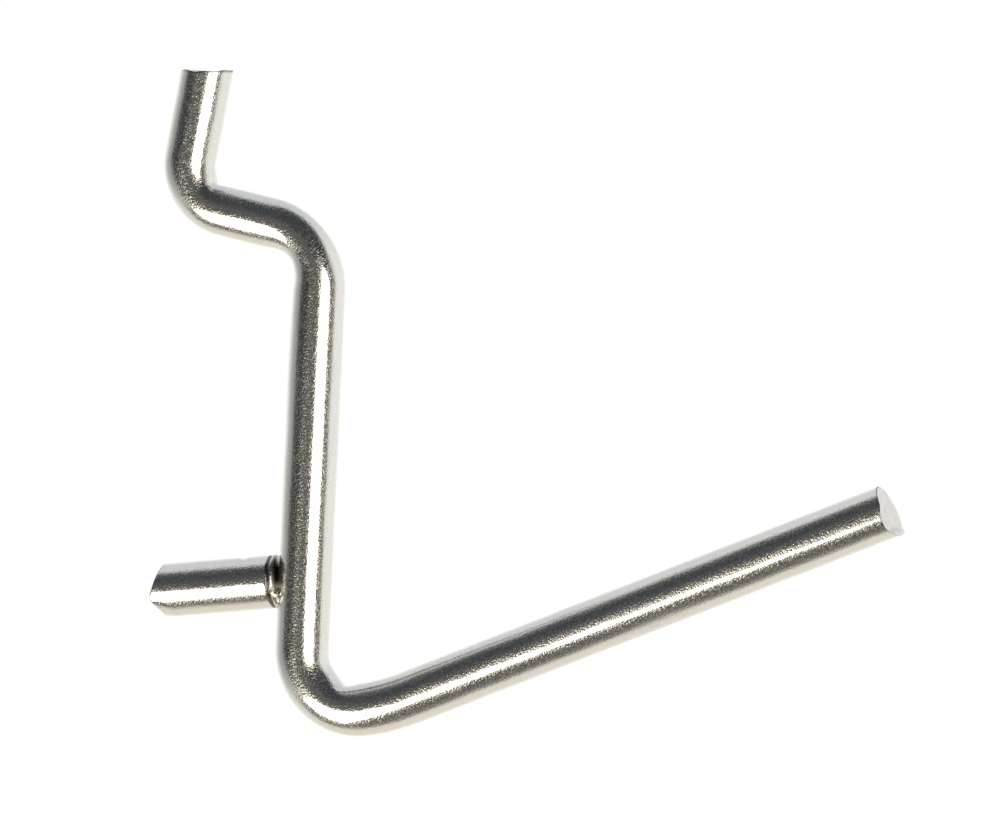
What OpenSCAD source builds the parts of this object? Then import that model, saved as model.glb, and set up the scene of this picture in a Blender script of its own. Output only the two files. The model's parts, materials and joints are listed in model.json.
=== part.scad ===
// Peg hook for perforated board: one bent round wire, with a short wire peg
// resistance-welded to the back of its shank.
//
// Frame: the hook lies in the XZ plane, with +X out of the board along the arm
// and +Z up along the shank. The origin is where the peg's axis meets the back
// of the shank, which is also where the face of the board bears.

/* [Wire] */
// Diameter of the bent wire
wire_d = 3.8; // [3:0.1:5]
// Diameter of the welded peg
peg_d = 3.8; // [3:0.1:5]

/* [Board] */
// Distance between the two board holes, centre to centre
hole_pitch = 25.4; // [24:0.1:27]
// Thickness of the board the hole distance is set for
board_t = 3.2; // [2:0.1:6]

/* [Prong] */
// From the jog's axis to the cut end of the prong, along its axis
prong_len = 9.3; // [7:0.1:14]
// Lean of the prong towards the board, from upright
prong_lean = 8.5; // [0:0.5:15]
// Angle of the sheared end, from square
prong_shear = 11.5; // [0:0.5:20]

/* [Jog] */
// From the shank's axis to the prong's axis, along the jog
jog_len = 10.7; // [9.5:0.1:15]
// Rise of the jog towards the prong, from level
jog_rise = 10.9; // [4:0.1:18]

/* [Shank and arm] */
// From the peg's axis down to the corner of the elbow
shank_drop = 9.8; // [9:0.1:16]
// Straight left between the elbow and the slight bend before the arm
heel_run = 0.2; // [0.1:0.1:4]
// Rise of the heel between those two bends, from level
heel_rise = 11.6; // [4:0.1:18]
// From the slight bend's corner to the arm's tip
arm_len = 39.4; // [25:0.1:80]
// Rise of the arm, from level
arm_rise = 23; // [19:0.5:40]
// Width of the small bevel round the arm's tip
tip_bevel = 0.15; // [0.05:0.05:0.4]

/* [Bends, at the wire's centre line] */
// Radius between prong and jog
prong_bend_r = 3.3; // [2.7:0.1:6]
// Radius between jog and shank
shoulder_bend_r = 4.4; // [2.7:0.1:8]
// Radius between shank and heel
elbow_bend_r = 4.1; // [2.7:0.1:5]
// Radius between heel and arm
arm_bend_r = 16.8; // [8:0.1:40]
// How much thinner the wire is drawn where it is bent
bend_thinning = 0.04; // [0.02:0.01:0.1]

/* [Peg] */
// From the back of the shank to the ridge of the pinched end
peg_len = 9.1; // [6:0.1:14]
// Droop of the peg away from the shank, from level
peg_droop = 7; // [0:0.5:12]
// How far the ridge of the pinched end lies below the peg's axis
ridge_drop = 0.5; // [0:0.05:0.8]
// Slope of the facet above the ridge, from square
upper_facet = 19; // [5:1:30]
// Slope of the facet below the ridge, from square
lower_facet = 24; // [5:1:35]

/* [Weld] */
// How far the peg's end is sunk into the back of the shank
weld_sink = 0.3; // [0.1:0.05:0.6]
// Width of the flash ring squeezed out round the root
flash_w = 0.8; // [0.6:0.05:1]
// How far the flash ring stands out of the peg
flash_h = 0.12; // [0.05:0.01:0.15]
// Width of the groove behind the flash ring
groove_w = 0.5; // [0.3:0.05:0.6]
// Depth of that groove
groove_depth = 0.15; // [0.05:0.01:0.2]

/* [Hidden] */
$fn = 64;

// Length that carries a cut clear past the wire
past = wire_d + peg_d;
// Length of each bend's end that lies inside its straight
bend_lap = 0.1;

wire_r = wire_d / 2;
peg_r = peg_d / 2;

// Corners of the wire's centre line, as [x, z]
shoulder = [wire_r, hole_pitch
    - (wire_r + board_t / 2) * tan(jog_rise)
    - board_t / 2 * tan(peg_droop)];
prong_corner = shoulder + jog_len * [-cos(jog_rise), sin(jog_rise)];
prong_end = prong_corner + prong_len * [sin(prong_lean), cos(prong_lean)];
elbow = [wire_r, -shank_drop];
heel_len = elbow_bend_r * tan((90 + heel_rise) / 2)
    + heel_run
    + arm_bend_r * tan((arm_rise - heel_rise) / 2);
arm_corner = elbow + heel_len * [cos(heel_rise), sin(heel_rise)];
arm_tip = arm_corner + arm_len * [cos(arm_rise), sin(arm_rise)];

route = [prong_end, prong_corner, shoulder, elbow, arm_corner, arm_tip];
bend_radii = [prong_bend_r, shoulder_bend_r, elbow_bend_r, arm_bend_r];

// Heading of the leg that leaves corner i, and the turn at corner i,
// which is positive to the left
function leg(i) = route[i + 1] - route[i];
function heading(i) = atan2(leg(i)[1], leg(i)[0]);
function wrapped(angle) = angle > 180 ? angle - 360 : angle < -180 ? angle + 360 : angle;
function turn(i) = wrapped(heading(i) - heading(i - 1));
function is_bend(i) = i > 0 && i < len(route) - 1;
function radius(i) = bend_radii[i - 1];

// How much of each leg a bend takes up, and where a leg's straight starts
function setback(i) = is_bend(i) ? radius(i) * tan(abs(turn(i)) / 2) : 0;
function straight_len(i) = norm(leg(i)) - setback(i) - setback(i + 1);
function straight_start(i) = route[i] + setback(i) * leg(i) / norm(leg(i));

// A length of straight wire that starts at a place and runs along a heading
module rod(place, direction, length) {
    translate(place)
        rotate([0, 90, direction])
            cylinder(d = wire_d, h = length);
}

// The straight of leg i
module straight(i) {
    rod(straight_start(i), heading(i), straight_len(i));
}

// The bend at corner i. Its centre lies on the side the wire turns to, and its
// ends run on a little inside the straights.
module bend(i) {
    side = sign(turn(i));
    into = heading(i - 1);
    start = route[i] - setback(i) * leg(i - 1) / norm(leg(i - 1));
    lap_angle = bend_lap / radius(i) * 180 / PI;
    translate(start + side * radius(i) * [-sin(into), cos(into)])
        rotate([0, 0, (side > 0 ? into - 90 : into + 90 + turn(i)) - lap_angle])
            rotate_extrude(angle = abs(turn(i)) + 2 * lap_angle)
                translate([radius(i), 0])
                    circle(d = wire_d - bend_thinning);
}

// The prong's straight, sheared off at a slant that leaves its front higher
module sheared_prong() {
    beyond = prong_end - past * leg(0) / norm(leg(0));
    difference() {
        rod(beyond, heading(0), straight_len(0) + past);
        translate(prong_end)
            rotate([0, 0, heading(0) + prong_shear])
                translate([-2 * past, -past, -past])
                    cube([2 * past, 2 * past, 2 * past]);
    }
}

// The arm's straight, cut square with a small bevel
module bevelled_arm() {
    last = len(route) - 2;
    length = straight_len(last);
    translate(straight_start(last))
        rotate([0, 90, heading(last)])
            rotate_extrude()
                polygon([
                    [0, 0],
                    [wire_r, 0],
                    [wire_r, length - tip_bevel],
                    [wire_r - tip_bevel, length],
                    [0, length],
                ]);
}

module hook_wire() {
    color("silver")
        rotate([90, 0, 0]) {
            sheared_prong();
            bend(1);
            straight(1);
            bend(2);
            straight(2);
            bend(3);
            straight(3);
            bend(4);
            bevelled_arm();
        }
}

// A ring round the peg with a round section, whose centre lies out from the
// peg's surface
module ring(width, out) {
    rotate_extrude()
        translate([peg_r + out, 0])
            circle(d = width);
}

// What is left of the peg's end by the cutter's two jaws, as a long wedge
// with its ridge across the peg
module pinched_wedge() {
    above = peg_r + ridge_drop;
    below = peg_r - ridge_drop;
    rotate([90, 0, 0])
        linear_extrude(2 * past, center = true)
            polygon([
                [-peg_r, -weld_sink - past],
                [peg_r, -weld_sink - past],
                [peg_r, peg_len - above * tan(upper_facet)],
                [-ridge_drop, peg_len],
                [-peg_r, peg_len - below * tan(lower_facet)],
            ]);
}

// The peg along +Z with its ridge at peg_len, before its root is shaped
module peg_blank() {
    flash_at = flash_w / 2;
    groove_at = flash_w + groove_w / 2;
    difference() {
        union() {
            intersection() {
                translate([0, 0, -weld_sink])
                    cylinder(d = peg_d, h = peg_len + weld_sink);
                pinched_wedge();
            }
            translate([0, 0, flash_at])
                ring(flash_w, flash_h - flash_w / 2);
        }
        translate([0, 0, groove_at])
            ring(groove_w, groove_w / 2 - groove_depth);
    }
}

module stub_peg() {
    color("silver")
        difference() {
            rotate([0, -90 - peg_droop, 0])
                peg_blank();
            translate([wire_r, 0, -past])
                cylinder(d = wire_d, h = 2 * past);
        }
}

hook_wire();
stub_peg();
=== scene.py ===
import json
import math

import bpy
import numpy as np
from mathutils import Matrix, Vector


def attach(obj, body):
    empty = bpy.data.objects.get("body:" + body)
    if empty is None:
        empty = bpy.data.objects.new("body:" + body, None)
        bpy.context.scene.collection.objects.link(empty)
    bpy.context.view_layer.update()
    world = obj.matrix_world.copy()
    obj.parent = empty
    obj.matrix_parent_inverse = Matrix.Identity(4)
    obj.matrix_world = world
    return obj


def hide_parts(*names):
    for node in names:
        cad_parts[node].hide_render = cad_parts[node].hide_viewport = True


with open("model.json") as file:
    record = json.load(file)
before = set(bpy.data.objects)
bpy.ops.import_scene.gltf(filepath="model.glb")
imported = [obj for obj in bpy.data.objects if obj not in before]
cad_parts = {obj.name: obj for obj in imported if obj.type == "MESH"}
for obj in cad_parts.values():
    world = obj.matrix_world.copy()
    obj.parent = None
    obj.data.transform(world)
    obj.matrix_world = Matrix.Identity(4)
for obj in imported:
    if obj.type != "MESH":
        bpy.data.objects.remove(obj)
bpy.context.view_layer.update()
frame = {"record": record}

MM = 0.001
mounts = {m["name"]: m for m in frame["record"]["mounts"]}

# Wire form, in metres and degrees
WIRE_R = mounts["hanging_arm"]["dims"]["r_mm"] * MM
SHANK_DROP = 9.8 * MM
HEEL_RISE = 11.6
BEND_RADII = [3.3 * MM, 4.4 * MM, 4.1 * MM, 16.8 * MM]
PRONG_SHEAR = 11.5
TIP_BEVEL = 0.15 * MM

# How the first three bends were squeezed: the fold on the inside of each, its place
# along the bend as a share and its width there, and how far the outside is flattened
FOLD_DEPTH = [0.24 * MM, 0.36 * MM, 0.27 * MM]
FOLD_PLACE = [0.62, 0.50, 0.70]
FOLD_WIDTH = [1.3 * MM, 2.9 * MM, 1.7 * MM]
FOLD_ROUNDING = 0.22
FOLD_FALL_ALONG, FOLD_FALL_ROUND = 1.6, 5
FLATTENED = [0.10 * MM, 0.12 * MM, 0.09 * MM]
FLATTENED_REACH = 0.6

# How much thinner the prong and the jog are on their right, and where that ends
PRONG_THINNED = 0.12 * MM
JOG_THINNED = 0.24 * MM
THINNING_FADE = 5 * MM

# Flats that the bending pins pressed into the jog and the arm, beside bends 0 and 2:
# their length, depth and half width round the wire, in radians
PIN_FLAT_LEN = [7.0 * MM, 10.0 * MM]
PIN_FLAT_DEPTH = 0.035 * MM
PIN_FLAT_HALF = [0.80, 0.78]
PIN_FLAT_NARROWING = 0.35
PIN_FLAT_EDGE = 0.12
PIN_FLAT_RISE = 6

# Slow and fine unevenness of the drawn wire and of the peg: its height and length
WIRE_WAVE, WIRE_WAVE_LEN = 0.006 * MM, 2.5 * MM
WIRE_RIPPLE, WIRE_RIPPLE_LEN = 0.004 * MM, 0.8 * MM
PEG_WAVE, PEG_WAVE_LEN = 0.006 * MM, 1.2 * MM

# The prong's sheared end: how far it is set out, its dish, and its two lips as
# (place across it, half width, height)
PRONG_SET_OUT = 0.12 * MM
PRONG_DISH = 0.10 * MM
PRONG_LIPS = [(-1.2 * MM, 1.1 * MM, 0.17 * MM), (1.7 * MM, 0.5 * MM, 0.08 * MM)]
PRONG_GRAIN, PRONG_GRAIN_LENS = 0.02 * MM, (0.35 * MM, 0.6 * MM)

# The arm's cut end: its burr as (place across it, half width, height), its slant, and
# the torn corner's depth, its distance from the axis and its reach
TIP_BURR = (-1.75 * MM, 0.5 * MM, 0.20 * MM)
TIP_SLANT = 0.06
TORN_DEPTH, TORN_FROM, TORN_REACH = 0.38 * MM, 0.9 * MM, 1.1 * MM
TIP_GRAIN, TIP_GRAIN_LEN = 0.012 * MM, 0.5 * MM
# The rounding of its edge, at the least and, in shares of the bevel, where it is worn,
# as (degrees round the edge, half width in radians, share)
TIP_EDGE = 0.02 * MM
TIP_WEAR = [(0, 1.0, 0.3), (55, 1.2, 1.5)]
CUT_EDGE = 0.05 * MM

# The dull patch of the shank beside the weld: where it lies round the wire in degrees,
# its half width in radians, its reach up and down, and how dull it is
PATCH_PLACE, PATCH_HALF = 205, 1.05
PATCH_REACH = 3.2 * MM
PATCH_DULLNESS = 0.85

# Peg
PEG_R = mounts["lower_peg"]["dims"]["r_mm"] * MM
PEG_LEN = 9.25 * MM
RIDGE_DROP = 0.5 * MM
UPPER_FACET = 21
LOWER_FACET = 30
PINCH_LEN = 1.5 * MM
PINCH_DEPTH = 0.22 * MM
PINCH_FALL = 1.3
FACET_GRAIN, FACET_GRAIN_LEN = 0.02 * MM, 0.4 * MM
# A nick on its top: distance along, half length, degrees round, half width and depth
NICK_ALONG, NICK_LEN = 2.4 * MM, 0.45 * MM
NICK_PLACE, NICK_HALF = 190, 0.5
NICK_DEPTH = 0.07 * MM

# The peg's root as (distance from the shank's back, radius), in millimetres: the
# neck of the weld, the peg's flat end, the flash round its rim and the groove behind
ROOT_PROFILE = [
    (-0.70, 0.95), (-0.16, 0.95), (-0.09, 1.05), (-0.07, 1.15), (-0.07, 1.25), (-0.06, 1.35),
    (-0.06, 1.45), (-0.05, 1.55), (-0.04, 1.65), (-0.02, 1.75), (0.02, 1.83), (0.08, 1.89),
    (0.14, 1.92), (0.19, 1.92), (0.24, 1.88), (0.29, 1.82), (0.33, 1.79), (0.37, 1.79),
    (0.41, 1.83), (0.45, 1.86), (0.50, 1.88),
]
# How many of those rings lie in the gap, before the flash
GAP_RINGS = 11
# The flash, in millimetres: its middle and reach along the peg, how far it leans to
# the shank and swells, all round and where it is thick, and the pitch of its ridges
FLASH_PLACE, FLASH_REACH = 0.06, 0.28
LEAN_ALL, LEAN_THICK = 0.03, 0.16
SWELL_ALL, SWELL_THICK = 0.02, 0.06
RIDGE_PITCH = 0.33
# Its thick part and the gap's upper part, as degrees round the peg and half width
THICK_PLACE, THICK_HALF = 312, 0.85
TOP_PLACE, TOP_HALF = 215, 1.35
# Darkening of the root: a slight one all over the flash, and painted shade in the groove behind
# it
FLASH_DARKENING, GROOVE_SHADE = 0.15, 0.85
GROOVE_PLACE, GROOVE_REACH = 0.40, 0.20
# The gap: the radii, in millimetres, where its end face starts to dull and its painted shade to
# clear
DULL_FROM, DULL_REACH = 1.1, 0.4
CLEAR_FROM, CLEAR_REACH = 1.2, 0.5
# Painted shade where shade falls in the gap: on its upper part, and the share of it that clears
# outwards
TOP_SHADE, CLEARED = 0.95, 0.75

# Plating: the fineness of its grain, ripple, blotches, specks and shear streaks per
# metre, and the relief of the grain and the ripple
GRAIN_SCALE, RIPPLE_SCALE, BLOTCH_SCALE, SPECK_SCALE, STREAK_SCALE = 7500, 900, 260, 4100, 2200
GRAIN_HEIGHT = 26e-6
RIPPLE_HEIGHT, RIPPLE_STRENGTH = 20e-6, 0.12
ZINC, ZINC_SPECK, ZINC_BLOTCH = (0.82, 0.83, 0.83), (0.84, 0.79, 0.66), (0.80, 0.79, 0.76)
SHORN, SHORN_STREAK = (0.95, 0.93, 0.91), (0.83, 0.82, 0.80)
# Colours of the weld's gilding and heat tint, and the dark colour of the painted shade and of
# the cut edges' dark lines
GILDED, HEATED, SHADE_AND_DARK_LINE_COLOUR = (0.88, 0.72, 0.45), (0.66, 0.70, 0.62), (0.13, 0.10, 0.08)
# Where the weld's heat coloured the zinc, as a centre and a reach
GILDED_AT, GILDED_REACH = (-0.1 * MM, -1.6 * MM, -1.0 * MM), 0.7 * MM
HEATED_AT, HEATED_REACH = (0.7 * MM, -1.6 * MM, 0.1 * MM), 1.5 * MM
SMOOTHEST, ROUGHEST, SHORN_ROUGHNESS = 0.12, 0.34, 0.5
COAT_ROUGHNESS, COAT_IOR = 0.08, 3.8

# Darkening of a cut edge, from its side to its face, and how broken its dark line is
RIM_DARKNESS = [0.8, 1.0, 0.8, 0.1]
EDGE_DARKNESS, EDGE_BREAKS = 0.95, 0.35

# Seeds of the uneven fields
SEEDS = {
    "wire_wave": 3, "wire_ripple": 5, "tip": 11, "peg_wave": 17, "prong": 21, "facet": 31,
    "flash": 41, "flash_breaks": 43, "prong_edge": 61, "tip_edge": 67, "peg_edge": 71,
}

# Mesh density
STEP = 0.12 * MM
PEG_STEP = 0.07 * MM
BLEND_LEN = 10 * STEP
SIDES = 96
CAP_COLUMNS = 28
ANGLES = np.radians(np.arange(SIDES) * 360 / SIDES)
CREASE = 35

# Camera: the photograph's width, its metres a pixel, and its view. From further away
# than about 2.8 m the other views of a hook this small would clip it
PHOTO_W = 1000
PIXEL = 0.0708 * MM
AZIMUTH, ROLL = 17.5, 2.61
AIM = Vector((15.81 * MM, 0.0, 12.41 * MM))
CAMERA_DISTANCE = 2.6
SENSOR = 36.0

# Lamps, each with its direction from the camera's (degrees right and up), its width,
# its height and its lean to the right
WINDOW_DISTANCE = 0.5
WINDOW_STRENGTH = 2.8
WINDOW_COLOUR = (1.0, 0.93, 0.80)
WINDOWS = [
    ("window_right", "ELLIPSE", 26, -6, 43, 52, 22),
    ("window_low_left", "RECTANGLE", -41, -36, 33, 44, 40),
]

# The room that the hook reflects, as patches over its pale walls: a direction from the
# camera's, how far from it the patch starts to fade and ends, its strength and colour
ROOM_COLOUR = (0.90, 0.89, 0.85)
ROOM_PATCHES = [
    (10, 115, 20, 65, 0.85, (0.62, 0.65, 0.69)),
    (-25, -115, 15, 60, 0.85, (0.80, 0.74, 0.64)),
    (-96, 2, 12, 52, 0.85, (0.30, 0.31, 0.31)),
    (-5, 4, 58, 90, 1.0, (0.105, 0.105, 0.10)),
    (14, 54, 30, 48, 1.0, (0.045, 0.049, 0.056)),
    (62, 2, 8, 22, 0.8, (0.11, 0.10, 0.08)),
    (-68, 18, 14, 36, 0.9, (0.035, 0.037, 0.04)),
    (-46, 50, 14, 36, 0.9, (0.05, 0.055, 0.065)),
    (-54, -62, 14, 30, 0.9, (0.075, 0.07, 0.06)),
    (-8, -76, 8, 28, 0.85, (0.06, 0.055, 0.04)),
]
# Behind the hook, where its reflections show the white backdrop
BACKDROP_PATCH = (180, 0, 15, 45)

# Floor: its size, its height, the share of its radius where it starts to fade out,
# and how much paler than the dim room lights it the camera sees it
FLOOR_R, FLOOR_Z = 0.14, -0.022
FLOOR_SIDES = 96
FLOOR_FADE = 0.6
FLOOR_COLOUR = (0.92, 0.92, 0.91, 1)
FLOOR_PALENESS = 0.7


def smooth(x):
    """A curve that rises from 0 to 1 as x does."""
    x = np.clip(x, 0, 1)
    return x * x * (3 - 2 * x)


def lump(x, width):
    """A rounded bump of height 1 at x = 0, gone beyond width."""
    return 1 - smooth(np.abs(x) / width)


def turned(a, degrees):
    """How far the angles a lie from an angle in degrees, in radians."""
    return np.abs((a - math.radians(degrees) + math.pi) % (2 * math.pi) - math.pi)


def lumps(x, shapes):
    """Rounded bumps over x, each given as (place, half width, height)."""
    return sum(height * lump(x - place, half) for place, half, height in shapes)


def waves(seed, x, y, count=6):
    """A smooth uneven field of about unit height over two coordinates."""
    rng = np.random.default_rng(seed)
    total = 0.0
    for _ in range(count):
        kx, ky = rng.normal(size=2)
        total = total + np.sin(kx * x + ky * y + rng.uniform(0, 2 * math.pi))
    return total / math.sqrt(count)


# Places in the hook's plane, as [x, z]

def plane_line(name):
    """A mount's point and direction in the hook's plane."""
    pos, axis = mounts[name]["pos_m"], mounts[name]["axis"]
    direction = np.array([axis[0], axis[2]])
    return np.array([pos[0], pos[2]]), direction / np.linalg.norm(direction)


def crossing(line_a, line_b):
    """Where two lines in the plane cross."""
    (p, u), (q, w) = line_a, line_b
    along = np.linalg.solve(np.column_stack([u, -w]), q - p)[0]
    return p + along * u


def wire_corners():
    """Corners of the wire's centre line, from the prong's end to the arm's tip."""
    prong, jog, arm = (plane_line(n) for n in ("upper_prong", "upper_jog", "hanging_arm"))
    shank = (np.array([WIRE_R, 0.0]), np.array([0.0, 1.0]))
    elbow = np.array([WIRE_R, -SHANK_DROP])
    rise = math.radians(HEEL_RISE)
    heel = (elbow, np.array([math.cos(rise), math.sin(rise)]))
    prong_straight = mounts["upper_prong"]["dims"]["length_mm"] * MM
    prong_straight -= WIRE_R * math.tan(math.radians(PRONG_SHEAR))
    arm_straight = mounts["hanging_arm"]["dims"]["length_mm"] * MM
    return [
        prong[0] + prong[1] * prong_straight / 2,
        crossing(prong, jog),
        crossing(jog, shank),
        elbow,
        crossing(heel, arm),
        arm[0] + arm[1] * (arm_straight / 2 + TIP_BEVEL),
    ]


class Path:
    """Stations along a bent centre line, with each one's place, heading and distance."""

    def __init__(self, corners, radii, step):
        self.step = step
        self.place, self.heading, self.along = [], [], []
        self.bends = []
        legs = [b - a for a, b in zip(corners, corners[1:])]
        units = [leg / np.linalg.norm(leg) for leg in legs]
        start, distance = corners[0], 0.0
        for i, unit in enumerate(units[:-1]):
            turn = math.atan2(unit[0] * units[i + 1][1] - unit[1] * units[i + 1][0],
                              unit @ units[i + 1])
            setback = radii[i] * math.tan(abs(turn) / 2)
            length = np.linalg.norm(corners[i + 1] - start) - setback
            self.straight(start, unit, length, distance)
            distance += length
            self.bends.append((distance, distance + radii[i] * abs(turn), np.sign(turn)))
            start = self.arc(start + unit * length, unit, turn, radii[i], distance)
            distance += radii[i] * abs(turn)
        length = np.linalg.norm(corners[-1] - start)
        self.straight(start, units[-1], length, distance)
        self.add(corners[-1], units[-1], distance + length)
        self.length = distance + length
        self.place, self.heading = np.array(self.place), np.array(self.heading)
        self.along = np.array(self.along)

    def add(self, place, heading, along):
        """Adds one station."""
        self.place.append(place)
        self.heading.append(heading)
        self.along.append(along)

    def straight(self, start, unit, length, distance):
        """Adds the stations of a straight, but not its end."""
        count = max(2, round(length / self.step))
        for k in range(count):
            self.add(start + unit * length * k / count, unit, distance + length * k / count)

    def arc(self, start, unit, turn, radius, distance):
        """Adds the stations of a bend, but not its end, and returns where that is."""
        normal = np.sign(turn) * np.array([-unit[1], unit[0]])
        centre = start + radius * normal
        count = max(3, round(radius * abs(turn) / self.step))
        for k in range(count + 1):
            angle = abs(turn) * k / count
            out = -normal * math.cos(angle) + unit * math.sin(angle)
            heading = unit * math.cos(angle) + normal * math.sin(angle)
            if k < count:
                self.add(centre + radius * out, heading, distance + radius * angle)
        return centre + radius * out


class Skin:
    """A closed mesh built from rings of SIDES points and two caps.

    Angle 0 of a ring lies on the left of the heading and 90 degrees on the far side.
    """

    def __init__(self):
        self.verts, self.faces, self.cut, self.shade_and_darkening = [], [], [], []
        self.last = None

    def ring(self, place, heading, along, out, is_cut=0.0, shade_and_darkening=0.0):
        """Adds a ring about a place, at along in front of it and out from its axis."""
        left = np.array([-heading[1], heading[0]])
        along = np.broadcast_to(along, (SIDES,))
        flat = place + np.outer(along, heading) + np.outer(out * np.cos(ANGLES), left)
        first = len(self.verts)
        self.verts += [(p[0], y, p[1]) for p, y in zip(flat, out * np.sin(ANGLES))]
        self.cut += list(np.broadcast_to(is_cut, (SIDES,)))
        self.shade_and_darkening += list(np.broadcast_to(shade_and_darkening, (SIDES,)))
        if self.last is not None:
            for k in range(SIDES):
                m = (k + 1) % SIDES
                self.faces.append((self.last + k, self.last + m, first + m, first + k))
        self.last = first
        return first

    def cap(self, first, place, heading, sign, out, face, is_cut=1.0):
        """Closes a ring with rows across it that follow face(w, y), out from the end."""
        left = np.array([-heading[1], heading[0]])
        half = SIDES // 2
        rows = [[first] * (CAP_COLUMNS + 1)]
        for k in range(1, half):
            w, reach = out[k] * math.cos(ANGLES[k]), out[k] * math.sin(ANGLES[k])
            row = [first + k]
            for j in range(1, CAP_COLUMNS):
                y = reach * math.cos(math.pi * j / CAP_COLUMNS)
                p = place + heading * sign * float(face(w, y)) + left * w
                row.append(len(self.verts))
                self.verts.append((p[0], y, p[1]))
                self.cut.append(is_cut)
                self.shade_and_darkening.append(0.0)
            row.append(first + SIDES - k)
            rows.append(row)
        rows.append([first + half] * (CAP_COLUMNS + 1))
        for upper, lower in zip(rows, rows[1:]):
            for j in range(CAP_COLUMNS):
                corners = [upper[j], lower[j], lower[j + 1], upper[j + 1]]
                corners = list(dict.fromkeys(corners))
                if len(corners) > 2:
                    self.faces.append(corners[::-1] if sign < 0 else corners)

    def mesh(self, name):
        """The finished mesh, smooth but for edges sharper than CREASE degrees."""
        mesh = bpy.data.meshes.new(name)
        mesh.from_pydata(self.verts, [], self.faces)
        mesh.update()
        mesh.shade_smooth()
        mesh.set_sharp_from_angle(angle=math.radians(CREASE))
        # the cut faces, and the painted shade and other darkening, as point attributes
        for key, values in (("cut_face", self.cut), ("shade_and_darkening", self.shade_and_darkening)):
            attribute = mesh.attributes.new(key, "FLOAT", "POINT")
            attribute.data.foreach_set("value", values)
        return mesh


def rim(radius, rounding, face):
    """Rings round a cut end's edge, from the side to the face, as (along, out) pairs."""
    rings = []
    for beta in np.radians([0, 30, 60, 90]):
        out = radius - rounding * (1 - math.cos(beta))
        along = face(out * np.cos(ANGLES), out * np.sin(ANGLES))
        rings.append((along - rounding * (1 - math.sin(beta)), out))
    return rings


def edge_darkness(seed):
    """How dark a cut edge is made round its rim: a broken line, from 0 to 1."""
    breaks = waves(seed, np.cos(ANGLES) * 3, np.sin(ANGLES) * 3)
    return np.clip(EDGE_DARKNESS + EDGE_BREAKS * breaks, 0, 1)


def place_piece(name, skin, node, material):
    """Puts a skin's mesh into the scene in place of a node."""
    mesh = skin.mesh(name)
    piece = bpy.data.objects.new(name, mesh)
    bpy.context.scene.collection.objects.link(piece)
    mesh.materials.append(material)
    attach(piece, "root")
    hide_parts(node)


# Materials

def new_material(name):
    """A material with an empty node tree, and the tree's nodes and links."""
    material = bpy.data.materials.new(name)
    material.use_nodes = True
    nodes, links = material.node_tree.nodes, material.node_tree.links
    nodes.clear()
    return material, nodes, links


def noise(nodes, links, coords, scale, detail, roughness=0.5):
    """Noise over the coordinates, as fine as scale says per metre."""
    node = nodes.new("ShaderNodeTexNoise")
    node.inputs["Scale"].default_value = scale
    node.inputs["Detail"].default_value = detail
    node.inputs["Roughness"].default_value = roughness
    links.new(coords, node.inputs["Vector"])
    return node.outputs["Fac"]


def map_range(nodes, links, value, low, high, to_low=0.0, to_high=1.0, smoothly=False):
    """A value brought from low and high to to_low and to_high, and held between them."""
    node = nodes.new("ShaderNodeMapRange")
    if smoothly:
        node.interpolation_type = "SMOOTHSTEP"
    sockets = ("From Min", "From Max", "To Min", "To Max")
    for key, number in zip(sockets, (low, high, to_low, to_high)):
        node.inputs[key].default_value = number
    links.new(value, node.inputs["Value"])
    return node.outputs["Result"]


def math_node(nodes, links, operation, a, b=None):
    """One operation on a and b, each a number or a socket."""
    node = nodes.new("ShaderNodeMath")
    node.operation = operation
    for socket, value in zip(node.inputs, (a, b)):
        if isinstance(value, (int, float)):
            socket.default_value = value
        elif value is not None:
            links.new(value, socket)
    return node.outputs["Value"]


def mix_colour(nodes, links, factor, a, b):
    """Mixes two colours, each a tuple or a socket."""
    node = nodes.new("ShaderNodeMix")
    node.data_type = "RGBA"
    sockets = [s for s in node.inputs if s.type == "RGBA"]
    for socket, value in zip(sockets, (a, b)):
        if isinstance(value, tuple):
            socket.default_value = (*value, 1)
        else:
            links.new(value, socket)
    links.new(factor, node.inputs["Factor"])
    return next(s for s in node.outputs if s.type == "RGBA")


def bump(nodes, links, height, distance, strength, normal=None):
    """The normal of a relief as high as distance, on top of another normal."""
    node = nodes.new("ShaderNodeBump")
    node.inputs["Distance"].default_value = distance
    node.inputs["Strength"].default_value = strength
    links.new(height, node.inputs["Height"])
    if normal is not None:
        links.new(normal, node.inputs["Normal"])
    return node.outputs["Normal"]


def nearness(nodes, links, coords, centre, reach):
    """1 at a point of the object, falling to 0 at reach from it."""
    away = nodes.new("ShaderNodeVectorMath")
    away.operation = "DISTANCE"
    links.new(coords, away.inputs[0])
    away.inputs[1].default_value = centre
    return map_range(nodes, links, away.outputs["Value"], 0.0, reach, 1.0, 0.0, True)


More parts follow.
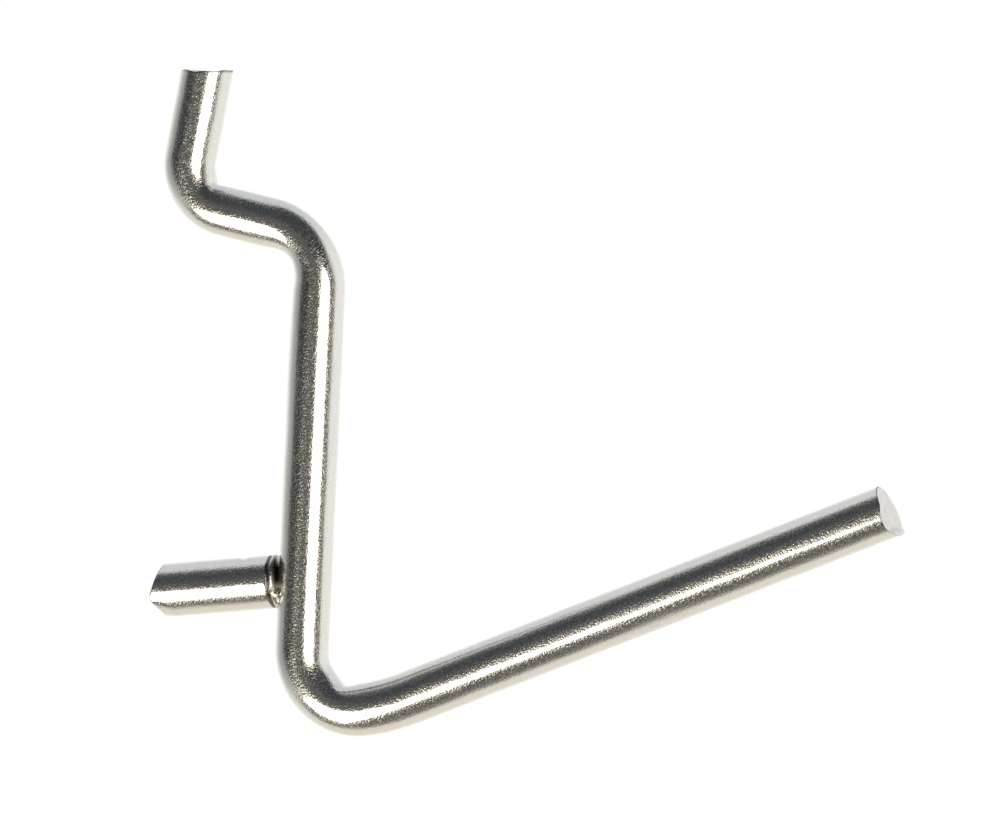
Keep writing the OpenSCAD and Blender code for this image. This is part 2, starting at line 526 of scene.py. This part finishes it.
def zinc_plate():
    """Bright zinc over drawn wire: a sparkling grain, faint blotches and rough cut ends."""
    material, nodes, links = new_material("zinc_plate")
    coords = nodes.new("ShaderNodeTexCoord").outputs["Object"]
    grain = noise(nodes, links, coords, GRAIN_SCALE, 1.0)
    ripple = noise(nodes, links, coords, RIPPLE_SCALE, 2.0)
    blotch = noise(nodes, links, coords, BLOTCH_SCALE, 3.0, 0.55)
    speck = noise(nodes, links, coords, SPECK_SCALE, 1.0)
    streak = noise(nodes, links, coords, STREAK_SCALE, 3.0, 0.6)

    def attribute(key):
        node = nodes.new("ShaderNodeAttribute")
        node.attribute_name = key
        return node.outputs["Fac"]

    cut_face, shade_and_darkening = attribute("cut_face"), attribute("shade_and_darkening")
    heated = nearness(nodes, links, coords, HEATED_AT, HEATED_REACH)
    gilded = nearness(nodes, links, coords, GILDED_AT, GILDED_REACH)

    tint = map_range(nodes, links, speck, 0.40, 0.60)
    plate = mix_colour(nodes, links, tint, ZINC, ZINC_SPECK)
    tint = map_range(nodes, links, blotch, 0.4, 0.7)
    plate = mix_colour(nodes, links, tint, plate, ZINC_BLOTCH)
    plate = mix_colour(nodes, links, gilded, plate, GILDED)
    tint = map_range(nodes, links, streak, 0.4, 0.62)
    shorn = mix_colour(nodes, links, tint, SHORN, SHORN_STREAK)
    colour = mix_colour(nodes, links, cut_face, plate, shorn)
    colour = mix_colour(nodes, links, heated, colour, HEATED)
    # painted shade in the weld's gap and groove, and the dark lines round the cut edges
    colour = mix_colour(nodes, links, shade_and_darkening, colour, SHADE_AND_DARK_LINE_COLOUR)

    roughness = map_range(nodes, links, grain, 0.40, 0.62, SMOOTHEST, ROUGHEST)
    cut_roughness = map_range(nodes, links, cut_face, 0.0, 1.0, 0.0, SHORN_ROUGHNESS)
    roughness = math_node(nodes, links, "MAXIMUM", roughness, cut_roughness)
    polished = bump(nodes, links, ripple, RIPPLE_HEIGHT, RIPPLE_STRENGTH)
    normal = bump(nodes, links, grain, GRAIN_HEIGHT, 1.0, polished)
    # the polish, the shader's coat, is gone from cut faces and where shade and dark edge lines
    # are painted
    unpolished = math_node(nodes, links, "MAXIMUM", cut_face, shade_and_darkening)
    polish = map_range(nodes, links, unpolished, 0.0, 1.0, 1.0, 0.0)

    shader = nodes.new("ShaderNodeBsdfPrincipled")
    shader.inputs["Metallic"].default_value = 1.0
    shader.inputs["Coat Roughness"].default_value = COAT_ROUGHNESS
    shader.inputs["Coat IOR"].default_value = COAT_IOR
    links.new(polish, shader.inputs["Coat Weight"])
    links.new(colour, shader.inputs["Base Color"])
    links.new(roughness, shader.inputs["Roughness"])
    links.new(normal, shader.inputs["Normal"])
    links.new(polished, shader.inputs["Coat Normal"])
    output = nodes.new("ShaderNodeOutputMaterial")
    links.new(shader.outputs["BSDF"], output.inputs["Surface"])
    return material


# Pieces

def wire_radius(path):
    """A function that gives the wire's radius at a distance s along it and angles a."""
    prong_bend, shoulder_bend, elbow_bend = path.bends[:3]

    def radius(s, a):
        out = np.full(np.broadcast(s, a).shape, WIRE_R)
        out += WIRE_WAVE * waves(SEEDS["wire_wave"], s / WIRE_WAVE_LEN, np.cos(a) * 2)
        out += WIRE_RIPPLE * waves(SEEDS["wire_ripple"], s / WIRE_RIPPLE_LEN, np.sin(a) * 3)
        # the right of the heading is the prong's back and the underside of the jog
        right = (1 - np.cos(a)) / 2
        into_jog = smooth((s - prong_bend[0]) / (prong_bend[1] - prong_bend[0]))
        fade_end = shoulder_bend[1] + THINNING_FADE
        past_jog = smooth((s - shoulder_bend[0]) / (fade_end - shoulder_bend[0]))
        thinned = PRONG_THINNED + (JOG_THINNED - PRONG_THINNED) * into_jog
        out -= thinned * (1 - past_jog) * right
        for k, (start, end, side) in enumerate((prong_bend, shoulder_bend, elbow_bend)):
            inner = (1 + side * np.cos(a)) / 2
            fold = start + (end - start) * FOLD_PLACE[k]
            away = np.hypot((s - fold) / FOLD_WIDTH[k], FOLD_ROUNDING) - FOLD_ROUNDING
            near = np.clip(1 - away, 0, 1)
            out -= FOLD_DEPTH[k] * near ** FOLD_FALL_ALONG * inner ** FOLD_FALL_ROUND
            from_middle = (s - (start + end) / 2) / (end - start)
            out -= FLATTENED[k] * lump(from_middle, FLATTENED_REACH) * (1 - inner) ** 2
        for k, (start, end, _) in enumerate((prong_bend, elbow_bend)):
            past = (s - (start + end) / 2) / PIN_FLAT_LEN[k]
            inside = smooth(past * PIN_FLAT_RISE) * (1 - smooth(past))
            half = PIN_FLAT_HALF[k] - PIN_FLAT_NARROWING * np.clip(past, 0, 1)
            edge = 1 - smooth((turned(a, 0) - half) / PIN_FLAT_EDGE)
            out -= PIN_FLAT_DEPTH * inside * edge
        return out

    return radius


def prong_face(w, y):
    """How far out the prong's sheared end is, w to the left of the heading and y deep."""
    dish = PRONG_DISH * smooth(1 - (w * w + y * y) / WIRE_R ** 2)
    across, deep = PRONG_GRAIN_LENS
    uneven = PRONG_GRAIN * waves(SEEDS["prong"], w / across, y / deep)
    shear = math.tan(math.radians(PRONG_SHEAR)) * w
    return shear + PRONG_SET_OUT + lumps(w, PRONG_LIPS) - dish + uneven


def tip_face(w, y):
    """How far out the arm's cut end is, w to the left of the heading and y deep."""
    to_corner = (-w - y) * math.sqrt(0.5)
    torn = -TORN_DEPTH * smooth((to_corner - TORN_FROM) / TORN_REACH)
    uneven = TIP_GRAIN * waves(SEEDS["tip"], w / TIP_GRAIN_LEN, y / TIP_GRAIN_LEN)
    return -TIP_SLANT * w + lumps(w, [TIP_BURR]) + torn + uneven


def hook_wire(material):
    """The bent wire, from the prong's sheared end to the arm's tip."""
    path = Path(wire_corners(), BEND_RADII, STEP)
    radius = wire_radius(path)
    skin = Skin()
    beside_weld = PATCH_DULLNESS * lump(turned(ANGLES, PATCH_PLACE), PATCH_HALF)
    start = rim(radius(0.0, ANGLES), np.full(SIDES, CUT_EDGE), prong_face)
    worn = sum(share * lump(turned(ANGLES, at), half) for at, half, share in TIP_WEAR)
    finish = rim(radius(path.length, ANGLES), TIP_EDGE + TIP_BEVEL * worn, tip_face)
    place, heading = path.place, path.heading
    prong_edge, tip_edge = edge_darkness(SEEDS["prong_edge"]), edge_darkness(SEEDS["tip_edge"])
    for level, (along, out) in enumerate(reversed(start)):
        first = skin.ring(place[0], heading[0], -along, out, 1.0 if level == 0 else 0.0,
                          prong_edge * RIM_DARKNESS[-1 - level])
        if level == 0:
            prong_first = first
    for i in range(1, len(path.along) - 1):
        s = path.along[i]
        near_start = max(0.0, 1 - s / BLEND_LEN)
        near_end = max(0.0, 1 - (path.length - s) / BLEND_LEN)
        shift = finish[0][0] * near_end - start[0][0] * near_start
        dull = beside_weld * lump(place[i][1], PATCH_REACH)
        skin.ring(place[i], heading[i], shift, radius(s, ANGLES), dull)
    for level, (along, out) in enumerate(finish):
        is_cut = 1.0 if level == len(finish) - 1 else 0.0
        tip_first = skin.ring(place[-1], heading[-1], along, out, is_cut,
                              tip_edge * RIM_DARKNESS[level])
    skin.cap(prong_first, place[0], heading[0], -1, start[-1][1], prong_face)
    skin.cap(tip_first, place[-1], heading[-1], 1, finish[-1][1], tip_face)
    place_piece("hook_wire_plated", skin, "hook_wire", material)


def pinched_face(w, y):
    """How far out the peg's end is, w below its axis and y deep."""
    upper, lower = math.tan(math.radians(UPPER_FACET)), math.tan(math.radians(LOWER_FACET))
    below = w - RIDGE_DROP
    facets = -np.where(below > 0, below * lower, -below * upper)
    grain = waves(SEEDS["facet"], w / FACET_GRAIN_LEN, y / FACET_GRAIN_LEN)
    return facets + FACET_GRAIN * grain


def peg_radius(s, a):
    """The peg's radius at distances s from the shank's back and angles a."""
    out = PEG_R + PEG_WAVE * waves(SEEDS["peg_wave"], s / PEG_WAVE_LEN, np.cos(a) * 2)
    underside = smooth((np.cos(a) - 0.35) / 0.5)
    near_end = np.clip(1 - (PEG_LEN - s) / PINCH_LEN, 0, 1)
    out = out - PINCH_DEPTH * underside * near_end ** PINCH_FALL
    nick = lump(s - NICK_ALONG, NICK_LEN) * lump(turned(a, NICK_PLACE), NICK_HALF)
    return out - NICK_DEPTH * nick


def peg_root(skin, origin, axis):
    """Adds the peg's root, from the neck to the groove, and returns its first ring."""
    # the flash is thicker and more broken low on its near side
    thick = lump(turned(ANGLES, THICK_PLACE), THICK_HALF)
    top_side = lump(turned(ANGLES, TOP_PLACE), TOP_HALF)
    breaks = waves(SEEDS["flash_breaks"], ANGLES * 10, 0.0) * thick
    uneven = waves(SEEDS["flash"], ANGLES * 3, 0.0) * 0.5 + breaks
    rings = []
    for k, (s, r) in enumerate(ROOT_PROFILE):
        weight = lump(s - FLASH_PLACE, FLASH_REACH)
        ridge = 0.3 + (0.5 + 0.5 * math.sin(2 * math.pi * r / RIDGE_PITCH))
        heap = LEAN_THICK * thick * (1 + 0.8 * uneven) * ridge
        lean = weight * (LEAN_ALL * uneven + heap) * MM
        heap = SWELL_THICK * thick * (1 + 0.6 * uneven)
        swell = weight * (SWELL_ALL * uneven + heap) * MM
        dull = 0.0
        # a slight darkening over the flash, and painted shade in the groove behind it
        darkening = FLASH_DARKENING + GROOVE_SHADE * lump(s - GROOVE_PLACE, GROOVE_REACH)
        if k < GAP_RINGS:
            # painted shade: the gap is darkened inside and above, where shade falls, and clear
            # where the flash is thick
            dull = smooth((r - DULL_FROM) / DULL_REACH) * (1 - top_side) * (1 - 0.6 * thick)
            inside = 1 - CLEARED * smooth((r - CLEAR_FROM) / CLEAR_REACH)
            darkening = np.maximum(TOP_SHADE * top_side, inside) * (1 - 0.9 * thick)
        rings.append(skin.ring(origin, axis, s * MM - lean, r * MM + swell, dull, darkening))
    return rings[0]


def stub_peg(material):
    """The peg, from the neck of its weld in the shank to its pinched end."""
    _, axis = plane_line("lower_peg")
    origin = np.zeros(2)
    skin = Skin()
    neck = peg_root(skin, origin, axis)
    root = ROOT_PROFILE[-1][0] * MM
    finish = rim(peg_radius(PEG_LEN, ANGLES), np.full(SIDES, CUT_EDGE), pinched_face)
    end = PEG_LEN + finish[0][0]
    stations = round((PEG_LEN - root) / PEG_STEP)
    for k in range(1, stations):
        s = root + (end - root) * k / stations
        skin.ring(origin, axis, s, peg_radius(s, ANGLES))
    edge = edge_darkness(SEEDS["peg_edge"])
    for level, (along, out) in enumerate(finish):
        is_cut = 1.0 if level == len(finish) - 1 else 0.0
        last = skin.ring(origin, axis, PEG_LEN + along, out, is_cut, edge * RIM_DARKNESS[level])
    sink, neck_r = -ROOT_PROFILE[0][0] * MM, ROOT_PROFILE[0][1] * MM
    skin.cap(neck, -axis * sink, axis, -1, np.full(SIDES, neck_r), lambda w, y: 0.0, 0.0)
    skin.cap(last, axis * PEG_LEN, axis, 1, finish[-1][1], pinched_face)
    place_piece("stub_peg_plated", skin, "stub_peg", material)


# Surroundings

def photo_axes():
    """Unit vectors from the hook to the camera, to the photo's right and to its top."""
    a, roll = math.radians(AZIMUTH), math.radians(ROLL)
    to_camera = Vector((math.sin(a), -math.cos(a), 0))
    level = Vector((math.cos(a), math.sin(a), 0))
    up = Vector((0, 0, 1))
    right = level * math.cos(roll) + up * math.sin(roll)
    top = up * math.cos(roll) - level * math.sin(roll)
    return to_camera, right, top


def photo_direction(right_deg, up_deg):
    """A direction told from the camera's: so many degrees to the right and up."""
    to_camera, right, top = photo_axes()
    away = math.radians(math.hypot(right_deg, up_deg))
    across = (right * right_deg + top * up_deg).normalized() if away else right
    return to_camera * math.cos(away) + across * math.sin(away)


def make_camera():
    """The photograph's view, by a long lens."""
    to_camera, right, top = photo_axes()
    data = bpy.data.cameras.new("photo_camera")
    data.sensor_width = SENSOR
    data.lens = SENSOR * CAMERA_DISTANCE / (PHOTO_W * PIXEL)
    camera = bpy.data.objects.new("photo_camera", data)
    bpy.context.scene.collection.objects.link(camera)
    turn = Matrix((right, top, to_camera)).transposed()
    camera.matrix_world = Matrix.Translation(AIM + to_camera * CAMERA_DISTANCE) @ turn.to_4x4()
    bpy.context.scene.camera = camera


def make_window(name, shape, right_deg, up_deg, width_deg, height_deg, lean_deg):
    """A soft lamp in a direction told from the photo's camera, leaning to the right."""
    direction = photo_direction(right_deg, up_deg)
    lean = math.radians(lean_deg)
    beyond = photo_direction(right_deg + math.sin(lean), up_deg + math.cos(lean))
    side = (beyond - direction).cross(direction).normalized()
    up = direction.cross(side)
    data = bpy.data.lights.new(name, "AREA")
    data.shape = shape
    data.size = 2 * WINDOW_DISTANCE * math.tan(math.radians(width_deg / 2))
    data.size_y = 2 * WINDOW_DISTANCE * math.tan(math.radians(height_deg / 2))
    area = data.size * data.size_y * (math.pi / 4 if shape == "ELLIPSE" else 1)
    data.energy = WINDOW_STRENGTH * math.pi * area
    data.color = WINDOW_COLOUR
    lamp = bpy.data.objects.new(name, data)
    bpy.context.scene.collection.objects.link(lamp)
    lamp.matrix_world = (Matrix.Translation(AIM + direction * WINDOW_DISTANCE)
                         @ Matrix((side, up, direction)).transposed().to_4x4())
    lamp.visible_camera = False


def make_world():
    """A white backdrop, and round the camera the dark room that the hook reflects."""
    world = bpy.data.worlds.new("studio")
    bpy.context.scene.world = world
    world.use_nodes = True
    nodes, links = world.node_tree.nodes, world.node_tree.links
    nodes.clear()
    direction = nodes.new("ShaderNodeTexCoord").outputs["Generated"]

    def patch(right_deg, up_deg, inner, outer, strength=1.0):
        """strength within inner degrees of a direction, falling to 0 at outer."""
        facing = nodes.new("ShaderNodeVectorMath")
        facing.operation = "DOT_PRODUCT"
        facing.inputs[1].default_value = photo_direction(right_deg, up_deg)
        links.new(direction, facing.inputs[0])
        away = math_node(nodes, links, "ARCCOSINE", facing.outputs["Value"])
        return map_range(nodes, links, away, math.radians(inner), math.radians(outer),
                         strength, 0.0, True)

    room = ROOM_COLOUR
    for *place, strength, colour in ROOM_PATCHES:
        room = mix_colour(nodes, links, patch(*place, strength), room, colour)
    studio = nodes.new("ShaderNodeBackground")
    links.new(room, studio.inputs["Color"])

    # the backdrop is white to the camera and, behind the hook, in its reflections
    path = nodes.new("ShaderNodeLightPath")
    shiny = math_node(nodes, links, "ADD", path.outputs["Is Glossy Ray"],
                      path.outputs["Is Transmission Ray"])
    shiny = math_node(nodes, links, "MULTIPLY", shiny, patch(*BACKDROP_PATCH))
    seen = math_node(nodes, links, "MAXIMUM", path.outputs["Is Camera Ray"], shiny)
    backdrop = nodes.new("ShaderNodeBackground")
    backdrop.inputs["Color"].default_value = (1, 1, 1, 1)
    mix = nodes.new("ShaderNodeMixShader")
    links.new(seen, mix.inputs["Fac"])
    links.new(studio.outputs["Background"], mix.inputs[1])
    links.new(backdrop.outputs["Background"], mix.inputs[2])
    output = nodes.new("ShaderNodeOutputWorld")
    links.new(mix.outputs["Shader"], output.inputs["Surface"])


def make_floor():
    """A pale round floor under the hook, below the photo's frame, that fades out."""
    bpy.ops.mesh.primitive_circle_add(
        vertices=FLOOR_SIDES, radius=FLOOR_R, fill_type="NGON", location=(AIM.x, 0, FLOOR_Z))
    floor = bpy.context.object
    floor.name = "floor"
    material, nodes, links = new_material("floor_paper")
    place = nodes.new("ShaderNodeTexCoord").outputs["Object"]
    length = nodes.new("ShaderNodeVectorMath")
    length.operation = "LENGTH"
    links.new(place, length.inputs[0])
    fade = map_range(nodes, links, length.outputs["Value"], FLOOR_FADE * FLOOR_R, FLOOR_R, 1, 0)
    paper = nodes.new("ShaderNodeBsdfDiffuse")
    paper.inputs["Color"].default_value = FLOOR_COLOUR
    white = nodes.new("ShaderNodeEmission")
    pale = nodes.new("ShaderNodeMixShader")
    camera_ray = nodes.new("ShaderNodeLightPath").outputs["Is Camera Ray"]
    seen = math_node(nodes, links, "MULTIPLY", camera_ray, FLOOR_PALENESS)
    links.new(seen, pale.inputs["Fac"])
    links.new(paper.outputs["BSDF"], pale.inputs[1])
    links.new(white.outputs["Emission"], pale.inputs[2])
    clear = nodes.new("ShaderNodeBsdfTransparent")
    mix = nodes.new("ShaderNodeMixShader")
    links.new(fade, mix.inputs["Fac"])
    links.new(clear.outputs["BSDF"], mix.inputs[1])
    links.new(pale.outputs["Shader"], mix.inputs[2])
    output = nodes.new("ShaderNodeOutputMaterial")
    links.new(mix.outputs["Shader"], output.inputs["Surface"])
    floor.data.materials.append(material)
    floor.visible_glossy = False
    floor.visible_shadow = False


make_camera()
make_world()
make_floor()
for window in WINDOWS:
    make_window(*window)
zinc = zinc_plate()
hook_wire(zinc)
stub_peg(zinc)

bpy.context.scene.view_settings.view_transform = "Standard"
bpy.context.view_layer.update()
